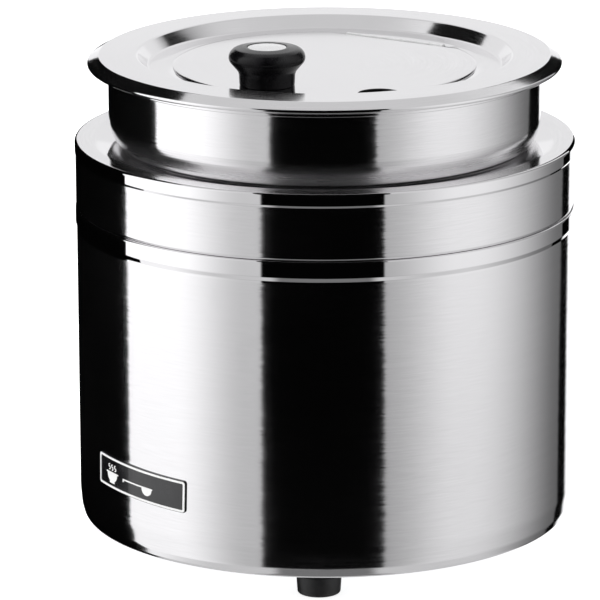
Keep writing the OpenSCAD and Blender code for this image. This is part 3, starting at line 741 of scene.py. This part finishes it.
def make_materials():
    """Every material, under the name of the slot or surface that it is for."""
    kinds = {
        "casing_steel": (spun_steel, (0.88, 0.1), dict(
            jag=0.024, wave=22.0, stain=0.028, polished=[(Z_SEAM - 15.2, Z_SEAM)])),
        "shoulder_steel": (spun_steel, (0.88, 0.09), dict(
            jag=0.022, wave=14.0,
            polished=[(Z_SEAM - 2, Z_SEAM + 1.5), (Z_SHOULDER - 9.4, Z_SHOULDER - 0.5)])),
        "well_steel": (spun_steel, (0.76, 0.26), dict(jag=0.06, grain=2.0, stain=0.07)),
        "pot_steel": (spun_steel, (0.88, 0.11), dict(jag=0.024, wave=18.0, dulled=(Z_SEAT + 20, 0.17))),
        "pot_inside": (spun_steel, (0.6, 0.24), dict(jag=0.05, grain=1.6, stain=0.06)),
        "lid_steel": (spun_steel, (0.88, 0.1), dict(jag=0.02, grain=0.5, wave=14.0, stain=0.02)),
        "flap_steel": (spun_steel, (0.88, 0.11), dict(
            jag=0.03, grain=0.5, wave=22.0, stain=0.015, around=4.0)),
        # near-black steel for the ladle slot's cut faces: painted shade
        "cut_edge": (plain_metal, (0.08, 0.55), dict(fleck=0.2, scale=1500.0, depth=5.0, metallic=0.8)),
        "hinge_steel": (plain_metal, (0.86, 0.55), dict(fleck=0.04, scale=1200.0, depth=2.5, metallic=0.6)),
        "galvanised_steel": (spangled_zinc, (), {}),
        "zinc_fasteners": (plain_metal, (0.66, 0.34), dict(
            fleck=0.08, scale=1600.0, depth=4.0, tint=(1, 1, 0.96))),
        "bright_trim": (plain_metal, (0.9, 0.09), dict(fleck=0.015, scale=1500.0, depth=0.6)),
        "foot_rubber": (moulded, ((0.008, 0.008, 0.0085), 0.4), dict(
            texture=14.0, scale=1500.0, wear=0.25, specular=0.35)),
        "insulation": (glass_wool, (), {}),
        "spreader_aluminium": (plain_metal, (0.72, 0.42), dict(fleck=0.06, scale=700.0, depth=14.0)),
        "element_sheath": (heat_stained, (), {}),
        "insulator_ivory": (moulded, ((0.72, 0.66, 0.52), 0.45), dict(texture=8.0, wear=0.05)),
        "black_plastic": (moulded, ((0.02, 0.02, 0.022), 0.4), dict(texture=10.0, wear=0.2)),
        "copper": (plain_metal, (0.9, 0.25), dict(fleck=0.05, tint=(0.95, 0.5, 0.34))),
        "brass": (plain_metal, (0.9, 0.24), dict(fleck=0.05, tint=(0.92, 0.7, 0.34))),
        "amber_lens": (clear_amber, (), {}),
        "badge_black": (moulded, ((0.006, 0.006, 0.007), 0.22), dict(texture=2.0, wear=0.2, coat=0.5)),
        "badge_white": (printed, ((0.86, 0.86, 0.85), 0.35), {}),
        "index_red": (printed, ((0.55, 0.02, 0.015),), {}),
        # the knob's top reflects more than its body: a painted sheen
        "knob_black": (moulded, ((0.0035, 0.0032, 0.004), 0.24), dict(
            texture=2.0, scale=900.0, wear=0.3, sheen=(0.350, 0.3592, 0.1, 0.36))),
        "dial_black": (moulded, ((0.012, 0.012, 0.013), 0.34), dict(texture=9.0, scale=2000.0, wear=0.2)),
        "knob_cap": (plain_metal, (0.92, 0.22), dict(fleck=0.02, scale=1100.0, depth=1.5)),
        "wire_green": (striped_earth, (), {}),
    }
    wires = {"brown": (0.24, 0.09, 0.035), "black": (0.02, 0.02, 0.021), "red": (0.55, 0.03, 0.02),
             "blue": (0.03, 0.13, 0.5), "grey": (0.36, 0.37, 0.38)}
    for name, colour in wires.items():
        kinds["wire_" + name] = (moulded, (colour, 0.38), dict(texture=3.0, scale=900.0, wear=0.06))
    return {name: make(name, *values, **more) for name, (make, values, more) in kinds.items()}


MATERIALS = make_materials()


# ---- Casing ----


def make_casing():
    bead = 0.78
    wall = [
        (BODY_R - 20, Z_BASE),
        (BODY_R - 2.8, Z_BASE, 3.6),
        (BODY_R - 0.9, Z_BASE + 7.2, 12),
        (BODY_R, Z_BASE + 18, 60),
        (BODY_R, Z_SEAM - 13.8, 1.5),
        (BODY_R + bead, Z_SEAM - 11, 1.5),
        (BODY_R + bead, Z_SEAM - 0.1, 1.6),
        (BODY_R - 4, Z_SEAM - 0.1),
    ]
    shell = lathe("casing_shell", sheet_loop(wall), segments=320)
    dress(shell, "casing_steel", "casing", "casing_steel", "outer_shell")
    band_r, swell = BODY_R + 0.4, 0.48
    mouth_r = POT_R + 2.7
    shoulder = [
        (BODY_R - 5.2, Z_SEAM - 9),
        (BODY_R - 5.2, Z_SEAM, 0.6),
        (band_r, Z_SEAM, 2.2),
        (band_r, Z_SHOULDER - 9.6, 1.2),
        (band_r + swell, Z_SHOULDER - 8.2, 1.2),
        (band_r + swell, Z_SHOULDER, 2.2),
        (BODY_R - 12, Z_SHOULDER, 25),
        (BODY_R - 27, Z_SEAT, 12),
        (mouth_r, Z_SEAT, 2.5),
        (mouth_r, Z_SEAT - 6),
    ]
    cap = lathe("casing_shoulder", sheet_loop(shoulder), segments=320)
    dress(cap, "shoulder_steel", "casing", "casing_steel", "shoulder_cap")


def make_well():
    flange_z = Z_SEAT - 2 * SHEET - 0.1
    profile = [(0, Z_WELL), (WELL_R, Z_WELL, 12), (WELL_R, flange_z, 2), (WELL_R + 11, flange_z)]
    well = lathe("well_liner", sheet_loop(profile), segments=240)
    dress(well, "well_steel", "casing", "well_steel", "water_well")


def make_feet():
    top = node_top("foot_front_left")
    hole_r = 2.7
    profile = [
        (hole_r, 10),
        (6, 10, 0.8),
        (6, 0, 0.8),
        (14.5, 0, 1.5),
        (15.1, 9, 6),
        (15.1, 13, 0.5),
        (14.5, 13.6, 0.4),
        (14.5, 14.6, 0.4),
        (15.6, 15.4, 0.5),
        (15.6, top, 0.8),
        (hole_r, top, 0.3),
        (hole_r, 10),
    ]
    section = bent(profile, 8.0)[:-1]
    for name, angle in FEET.items():
        place = turned(angle) @ Matrix.Translation((FOOT_RING_R, 0, 0))
        foot = lathe(name.replace("foot", "rubber"), section, place, segments=72)
        dress(foot, "foot_rubber", "casing", "foot_rubber", name)


# ---- Badge ----


def make_badge():
    place = {"angle": 270.0, "z": BADGE_Z, "tilt": BADGE_TILT}
    print_r = BODY_R + 1.12
    plate = flat_shape([rounded_rect(BADGE_W, BADGE_H, 2.2)], 1.05, 0.25)
    wrap(plate, BODY_R + 0.05, **place)
    dress(finish_mesh("badge_backing", plate, 60), "badge_black", "casing", "badge_black", "badge_plate")
    outer = rounded_rect(BADGE_W - 1, BADGE_H - 1, 1.8)
    inner = rounded_rect(BADGE_W - 4, BADGE_H - 4, 0.8)
    border = flat_shape([outer, inner], 0.34, 0.08)
    wrap(border, print_r, **place)
    dress(finish_mesh("badge_frame", border, 60), "badge_white", "casing", "badge_white", "badge_border")
    # A bowl with three wisps of steam, and a ladle beside it
    bowl_at, ladle_at = (-27.0, -0.6), (11.0, -1.4)
    shapes = [
        (arc_points(0, 0, 6, 180, 360, 32), bowl_at, (0, 0.02)),
        (rounded_rect(14.8, 1.1, 0.4), bowl_at, (0, 0.55)),
        (rounded_rect(6, 1.2, 0.3), bowl_at, (0, -6.1)),
        (arc_points(0, 0, 4.8, 180, 360, 28), ladle_at, (0, 0.02)),
        (rounded_rect(10.8, 1, 0.3), ladle_at, (0, 0.5)),
        (rounded_rect(20, 1, 0.3), ladle_at, (-15, 0.5)),
        (rounded_rect(1, 2.4, 0.3), ladle_at, (-24.5, -0.2)),
    ]
    for x in (-3.6, 0.0, 3.6):
        wisp = arc_points(x, 3.5, 0.9, -90, 90, 10) + arc_points(x, 5.3, 0.9, 270, 90, 10)[1:]
        shapes.append((stroke(wisp, 0.8), bowl_at, (0, 0)))
    emblem = bmesh.new()
    for loop, at, by in shapes:
        part = flat_shape([[(x + at[0] + by[0], y + at[1] + by[1]) for x, y in loop]], 0.34, 0.06)
        wrap(part, print_r, **place)
        merge(emblem, part)
    dress(finish_mesh("badge_sign", emblem, 60), "badge_white", "casing", "badge_white", "badge_emblem")


# ---- Pot and lid ----


def make_pot():
    step_z = Z_SEAT + 0.3
    profile = [
        (0, Z_POT),
        (POT_R - 1, Z_POT, 20),
        (POT_R, step_z, 3),
        (NECK_R - 5.5, step_z, 7),
        (NECK_R, step_z + 13, 22),
        (NECK_R, Z_RIM - SHEET, 1),
        (RIM_R - SHEET, Z_RIM - SHEET, 1),
        (RIM_R - SHEET, Z_RIM - 10),
    ]
    pot = lathe("pot_shell", sheet_loop(profile), segments=320)
    dress(pot, "pot_steel", "pot", "pot_steel", "food_pot")
    # The inside gets a darker, rougher steel than the outside
    pot.data.materials.append(MATERIALS["pot_inside"])
    for face in pot.data.polygons:
        x, y, z = face.center / MM
        nx, ny, nz = face.normal
        wall = nx * x + ny * y < 0
        floor = nz > 0.5 and z < Z_POT + 5
        if z < Z_RIM - 1.5 and math.hypot(x, y) < NECK_R and (wall or floor):
            face.material_index = 1


def in_slot(angle, radius, beyond):
    """How far from the lid's middle the edge of a round slot lies at an angle; None outside the slot.

    The edge is the far one if beyond is true, and the near one if not.
    """
    turn = math.radians((angle - SLOT_ANGLE + 180) % 360 - 180)
    inside = radius**2 - (SLOT_CENTRE * math.sin(turn)) ** 2
    if abs(turn) > 0.5 or inside < 0:
        return None
    return SLOT_CENTRE * math.cos(turn) + (1 if beyond else -1) * math.sqrt(inside)


def from_hinge(angle):
    """The angle between a direction and the hinge, which lies at 90 degrees."""
    return abs((angle - 90 + 180) % 360 - 180)


def mouth_radius(angle):
    """The lid's opening, as a distance from its middle."""
    slot = in_slot(angle, MOUTH_SLOT_R, True)
    if slot is not None:
        return max(MOUTH_R, min(slot, FLAP_R - 0.4))
    off = from_hinge(angle)
    s, c = sind(off), cosd(off)
    notch_end, back_start, back_end = MOUTH_CORNERS
    if off >= back_end:
        return MOUTH_R
    if off <= notch_end:
        return MOUTH_NOTCH / c
    if off < back_start:
        return HINGE_HALF / s
    return MOUTH_BACK / c


def make_lid():
    lip_r = 1.6
    slope = math.radians(30)
    curl = (-150, 60)
    drop = (LID_R - lip_r + lip_r * cosd(curl[1]) - LID_FLAT_R) * math.tan(slope)
    cx, cz = LID_R - lip_r, Z_LID - drop - lip_r * sind(curl[1])
    lip = arc_points(cx, cz, lip_r, *curl, 21)
    rest = [
        (LID_FLAT_R + 2, Z_LID - 2 * math.tan(slope)),
        (LID_FLAT_R, Z_LID, 1.6),
        (RECESS_R, Z_LID, 2.2),
        (LEDGE_R, LEDGE_Z, 2.6),
        (110.0, LEDGE_Z),
    ]
    under = shifted(rest, SHEET)
    top = bent(rest, 4.0)
    bottom = bent(under, 4.0)
    inner_lip = arc_points(cx, cz, lip_r - SHEET, *curl, 7)
    fixed = supported(lip + top)[:-2]
    back = bottom[::-1] + inner_lip[::-1]

    def section(angle):
        r = mouth_radius(angle)
        edge = [
            (r + 0.25, LEDGE_Z),
            (r + 0.06, LEDGE_Z - 0.08),
            (r, LEDGE_Z - 0.3),
            (r, LEDGE_Z - 0.7),
            (r + 0.06, LEDGE_Z - 0.92),
            (r + 0.25, LEDGE_Z - SHEET),
        ]
        return fixed + edge + back

    special = []
    for off in MOUTH_CORNERS:
        special += [90 - off, 90 + off, 90 - off - 0.02, 90 + off + 0.02]
    half_slot = math.degrees(math.asin(MOUTH_SLOT_R / SLOT_CENTRE))
    special += [SLOT_ANGLE + k * (half_slot + d) for k in (-1, 1) for d in (-0.01, 0.01)]
    angles = sorted(set([i * 1.125 for i in range(320)] + special))
    lid = lathe("lid_ring", section, LID_FRAME, angles=angles)
    dress(lid, "lid_steel", "lid", "lid_steel", "lid_pan")


def flap_radius(angle):
    off = from_hinge(angle)
    r = FLAP_R
    if off < 89 and FLAP_BACK / cosd(off) < r:
        r = FLAP_BACK / cosd(off)
    slot = in_slot(angle, SLOT_R, False)
    return r if slot is None else min(r, slot)


def make_flap():
    z0, z1 = node_bottom("flap_plate"), node_top("flap_plate")
    half_slot = math.degrees(math.asin(SLOT_R / SLOT_CENTRE))
    chord_off = math.degrees(math.acos(FLAP_BACK / FLAP_R))
    special = [90 - chord_off, 90 + chord_off, SLOT_ANGLE - half_slot - 0.01, SLOT_ANGLE + half_slot + 0.01]
    special += [SLOT_ANGLE + half_slot * sind(k) for k in range(-90, 91, 5)]
    angles = sorted(set([i * 1.25 for i in range(288)] + special))
    edge = 0.22
    bevel = edge * 0.3

    def section(angle):
        r = flap_radius(angle)
        upper = [(0, z1), (50, z1), (r - 2, z1), (r - edge, z1), (r - bevel, z1 - bevel), (r, z1 - edge)]
        lower = [(r, z0 + edge), (r - bevel, z0 + bevel), (r - edge, z0), (r - 2, z0), (50, z0), (0, z0)]
        return upper + lower

    flap = lathe("flap_disc", section, LID_FRAME, angles=angles, closed=False)
    dress(flap, "flap_steel", "flap", "lid_steel", "flap_plate")
    # The cut faces of the ladle slot get near-black steel: painted shade for the dark inside the slot
    flap.data.materials.append(MATERIALS["cut_edge"])
    back = LID_FRAME.inverted()
    for face in flap.data.polygons:
        x, y = (back @ (face.center / MM)).xy
        upright = abs(face.normal.z) < 0.5 and math.hypot(x, y) < FLAP_R - 0.6
        if upright and in_slot(math.degrees(math.atan2(y, x)), SLOT_R + 0.2, False) is not None:
            face.material_index = 1


def knob_place():
    top = node_top("flap_plate")
    return LID_FRAME @ turned(KNOB_ANGLE) @ Matrix.Translation((KNOB_AT, 0, top))


def make_knob():
    cup_z = KNOB_H - 1.2
    profile = [
        (0, 0),
        (18.5, 0, 1.0),
        (18.9, 9, 7),
        (25.9, 17.2, 5),
        (24.9, KNOB_H - 1.4, 6.5),
        (CAP_R + 1.4, KNOB_H - 0.1, 6),
        (CAP_R + 0.1, KNOB_H - 0.15, 0.25),
        (CAP_R + 0.1, cup_z),
        (0, cup_z),
    ]
    knob = lathe("knob_grip", bent(profile, 4.0), knob_place(), closed=False, segments=128)
    dress(knob, "knob_black", "flap", "knob_black", "lid_knob")
    crown_r = 120
    crown = [
        (r, cup_z + 1.5 - crown_r + math.sqrt(crown_r**2 - r * r))
        for r in (12.6, 11, 8.5, 6, 3)
    ]
    rim_z = crown[0][1]
    cap_profile = [
        (0, KNOB_H - 1.15),
        (CAP_R - 0.15, KNOB_H - 1.15),
        (CAP_R - 0.15, rim_z - 0.25),
        (CAP_R - 0.3, rim_z - 0.06),
        *crown,
        (0, KNOB_H + 0.3),
    ]
    cap = lathe("knob_disc", cap_profile, knob_place(), closed=False, segments=96, sharp=50)
    dress(cap, "knob_cap", "flap", "bright_trim", "knob_cap")


# ---- Dial and lamp ----


def make_dial():
    place = on_axis(DIAL_ANGLE, DIAL_Z, BODY_R + 1.4)
    ribs = 48
    cone_r, cone_z = DIAL_R - 2.2, 3.25
    grip_z = 4.6

    def skirt_section(angle):
        dip = 0.28 * max(0.0, cosd(angle * ribs)) ** 2
        edge = DIAL_R - dip
        return [
            (0, 0),
            (edge - 0.5, 0),
            (edge - 0.1, 0.2),
            (edge, 0.6),
            (edge - 0.35, 2.3),
            (edge - 0.8, 2.9),
            (cone_r, cone_z),
            (DIAL_R - 6.6, 4.45),
            (DIAL_R - 7.4, grip_z),
            (0, grip_z),
        ]

    def on_cone(r):
        return cone_z + (cone_r - r) * 1.2 / 4.4 + 0.03

    angles = [i * 0.9375 for i in range(384)]
    skirt = lathe("dial_flange", skirt_section, place, closed=False, angles=angles)
    dress(skirt, "dial_black", "dial", "knob_black", "dial_skirt")
    grip = bmesh.new()
    boss = [(0, grip_z), (14.5, grip_z, 0.4), (14.1, 9.2, 0.6), (13.4, 9.7), (0, 9.7)]
    add_lathe(grip, bent(boss, 8), segments=96, closed=False)
    finger = flat_shape([rounded_rect(27.6, 9.6, 3.0)], 15.0, 0.7, columns=60)
    for v in finger.verts:
        taper = 1 - 0.05 * v.co.z / 15
        v.co = (v.co.x * taper, v.co.y * taper, v.co.z + grip_z)
    merge(grip, finger)
    obj = finish_mesh("dial_handle", grip, 45, place)
    dress(obj, "dial_black", "dial", "knob_black", "dial_grip")
    # Heat marks printed on the skirt: a ring of ticks from the pointer's side, longer at every third
    ticks = bmesh.new()
    for i in range(19):
        a = math.radians(180 + 15 * i)
        long = i % 3 == 0
        inner, outer = (17.0, 20.4) if long else (18.4, 20.4)
        half = 0.32 if long else 0.2
        u = Vector((math.cos(a), math.sin(a)))
        v = Vector((-math.sin(a), math.cos(a)))
        corners = [
            (u * inner - v * half, on_cone(inner)),
            (u * outer - v * half, on_cone(outer)),
            (u * outer + v * half, on_cone(outer)),
            (u * inner + v * half, on_cone(inner)),
        ]
        low = [ticks.verts.new((p.x, p.y, z - 0.06)) for p, z in corners]
        high = [ticks.verts.new((p.x, p.y, z)) for p, z in corners]
        ticks.faces.new(high)
        ticks.faces.new(low[::-1])
        for k in range(4):
            ticks.faces.new([low[k], low[(k + 1) % 4], high[(k + 1) % 4], high[k]])
    marks = finish_mesh("dial_ticks", ticks, 30, place)
    dress(marks, "badge_white", "dial", "badge_white")


def make_casing_trim():
    index = flat_shape([[(-2.6, 5), (0, 0), (2.6, 5)]], 0.4, 0.05)
    wrap(index, BODY_R + 0.08, DIAL_ANGLE, DIAL_Z + DIAL_R + 3)
    dress(finish_mesh("dial_mark", index, 60), "index_red", "casing", "index_red", "dial_index")
    place = on_axis(LAMP_ANGLE, DIAL_Z, BODY_R)
    ring = [(6.1, 0.8), (8.3, 0.8, 0.2), (7.9, 1.9, 0.7), (6.9, 2.15, 0.4), (6.1, 1.6), (6.1, 0.8)]
    bezel = lathe("lamp_ring", bent(ring, 10)[:-1], place, segments=96)
    dress(bezel, "bright_trim", "casing", "bright_trim", "lamp_bezel")


def dress_cad():
    """Gives every CAD node that stays in the model a better material for its slot."""
    for part in frame["record"]["subparts"]:
        obj = frame["nodes"].get(part["node"])
        material = MATERIALS.get(part["material_slot"])
        if obj is None or material is None:
            continue
        if obj.material_slots:
            for held in obj.material_slots:
                held.material = material
        else:
            obj.data.materials.append(material)


# ---- Studio ----


def make_world():
    world = bpy.data.worlds.new("studio")
    scene.world = world
    world.use_nodes = True
    n = Nodes(world.node_tree)
    direction = n.add("TexCoord").outputs["Generated"]
    dx, dy, dz = n.axes(direction)
    c, s = cosd(CAMERA_ANGLE), sind(CAMERA_ANGLE)
    right = n.plus(n.times(dx, c), n.times(dy, s))
    toward = n.minus(n.times(dx, s), n.times(dy, c))
    to_degrees = 180 / math.pi
    around = n.times(n.math("ARCTAN2", right, toward), to_degrees)
    height = n.times(n.math("ARCSINE", n.most(n.math("MINIMUM", dz, 1.0), -1.0)), to_degrees)
    # The dark gap between the soft boxes in front, which narrows overhead
    width = n.plus(0.235, n.times(toward, 0.26))
    gap = n.minus(width, n.math("ABSOLUTE", n.plus(right, 0.0175)))
    front = n.times(
        n.step(gap, -0.012, 0.012),
        n.step(toward, 0.0, 0.1),
        n.step(dz, -0.64, -0.6),
        n.step(dz, 0.84, 0.8),
    )
    # A dark stand behind on the right
    middle = n.step(height, -16.0, -12.6, 146.0, 149.0, smooth=False)
    stand = n.times(
        n.step(n.math("ABSOLUTE", n.minus(around, middle)), 7.0, 5.0),
        n.step(height, -6.0, -10.0),
        n.step(dz, -0.64, -0.6),
    )
    dark = n.most(front, stand)
    # The soft box on the left fades to the front; the one on the right fades both ways
    left = n.times(n.step(around, -74.0, -36.0, 1.25, 0.62), n.step(around, -116.0, -106.0))
    right_box = n.times(n.step(around, 25.0, 64.0, 0.47, 0.9), n.step(around, 70.0, 140.0, 1.0, 0.17))
    reach = n.plus(around, n.times(n.most(n.plus(height, 15.0), 0.0), 0.45))
    behind = n.most(n.step(reach, 148.0, 158.0), n.step(around, -106.0, -112.0))
    behind = n.times(behind, n.step(height, -8.0, 4.0, 1.15, 0.9))
    behind = n.times(behind, n.step(height, 10.7, 12.0, 1.04, 0.93, smooth=False))
    level = n.most(n.times(left, n.step(around, 10.0, -10.0)),
                   n.times(right_box, n.step(around, -10.0, 10.0)))
    level = n.times(level, n.step(height, -17.3, -14.3, 0.82, 1.0, smooth=False))
    level = n.most(level, behind)
    level = n.blend(n.step(height, 30.0, 62.0), level, 0.64)
    # The floor near the kettle, which lies in the shade of the camera in front
    below = n.step(dz, -0.6, -0.68)
    shade = n.times(n.step(n.math("ABSOLUTE", right), 0.36, 0.28), n.step(toward, 0.0, 0.1))
    ground = n.minus(0.6, n.times(shade, 0.42))
    level = n.blend(below, level, ground)
    shown = n.blend(dark, level, 0.001)
    colour = n.add("CombineColor", {"Red": shown, "Green": shown, "Blue": n.times(shown, 1.012)})
    lit = n.add("Background", {"Color": colour.outputs["Color"], "Strength": 1.0})
    white = n.add("Background", {"Color": (1, 1, 1, 1), "Strength": 1.0})
    seen = n.add("LightPath").outputs["Is Camera Ray"]
    blend = n.add("MixShader")
    n.feed(blend.inputs[0], seen)
    n.feed(blend.inputs[1], lit.outputs[0])
    n.feed(blend.inputs[2], white.outputs[0])
    n.add("OutputWorld", {"Surface": blend.outputs[0]})


def make_floor():
    bm = bmesh.new()
    bmesh.ops.create_grid(bm, x_segments=8, y_segments=8, size=9000)
    bmesh.ops.translate(bm, verts=bm.verts, vec=(0, 0, -0.2))
    floor = finish_mesh("floor", bm)
    material, nodes = new_material("floor_white", Roughness=0.9, Emission_Strength=0.82)
    nodes.surface("Emission Color", (1, 1, 1, 1))
    cloud = nodes.noise(nodes.place(), 1.5, 2.0)
    nodes.surface("Base Color", nodes.mix(cloud, (0.86, 0.86, 0.87), (0.9, 0.9, 0.9)))
    floor.data.materials.append(material)
    floor.visible_glossy = False


def make_card(name, corners):
    """A black card that only shows in the steel.

    Its corners are in millimetres, seen from the camera: right, away, up.
    """
    bm = bmesh.new()
    turn = Matrix.Rotation(math.radians(CAMERA_ANGLE), 3, "Z")
    bm.faces.new([bm.verts.new(turn @ Vector(c)) for c in corners])
    card = finish_mesh(name, bm)
    material, nodes = new_material(name, Roughness=1.0, Specular_IOR_Level=0.0)
    weave = nodes.noise(nodes.place(), 300.0)
    nodes.surface("Base Color", nodes.mix(weave, (0.0, 0.0, 0.0), (0.002, 0.002, 0.002)))
    card.data.materials.append(material)
    card.visible_camera = False
    card.visible_diffuse = False
    card.visible_shadow = False


def make_cards():
    ends = [(-158, 310), (-215, 229), (-404, -40)]
    for name, k, bottom, top in (
        ("card_left", 1, -300, 738),
        ("card_left_low", 0, -300, 318),
        ("card_left_high", 0, 480, 738),
    ):
        near, far = ends[k], ends[k + 1]
        make_card(name, [(*near, bottom), (*far, bottom), (*far, top), (*near, top)])
    outline = [(38, 262), (212, 237), (215, 300), (370, 557), (374, 590), (96, 590), (78, 490)]
    make_card("card_right", [(220, away, up) for away, up in outline])
    make_card("card_above", [(-138, -129, 650), (114, -129, 650), (359, -700, 650), (-383, -700, 650)])


def make_light():
    light = bpy.data.lights.new("overhead", "AREA")
    light.shape = "SQUARE"
    light.size = 3.0
    light.energy = 60.0
    obj = bpy.data.objects.new("overhead", light)
    obj.location = (0.0, 0.0, 3.0)
    obj.visible_glossy = False
    obj.visible_camera = False
    scene.collection.objects.link(obj)


def make_camera():
    """The photograph's viewpoint: 3.35 m away and 1.06 m above the floor, on a long lens."""
    distance, height = 3.35421, 1.06116
    pitch, roll, yaw = 14.922, -0.18635, 0.29517
    spot = (distance * sind(CAMERA_ANGLE), -distance * cosd(CAMERA_ANGLE), height)
    data = bpy.data.cameras.new("camera")
    data.sensor_width = 36.0
    data.lens = 302.226
    data.clip_end = 60.0
    camera = bpy.data.objects.new("camera", data)
    turn = turned(CAMERA_ANGLE + yaw) @ turned(90 - pitch, "X") @ turned(roll)
    camera.matrix_world = Matrix.Translation(spot) @ turn
    scene.collection.objects.link(camera)
    scene.camera = camera


make_camera()
make_world()
make_floor()
make_light()
make_cards()
make_casing()
make_well()
make_feet()
make_badge()
make_pot()
make_lid()
make_flap()
make_knob()
make_dial()
make_casing_trim()
dress_cad()

scene.view_settings.view_transform = "Standard"
scene.view_settings.look = "None"
scene.cycles.max_bounces = 16
scene.cycles.glossy_bounces = 12
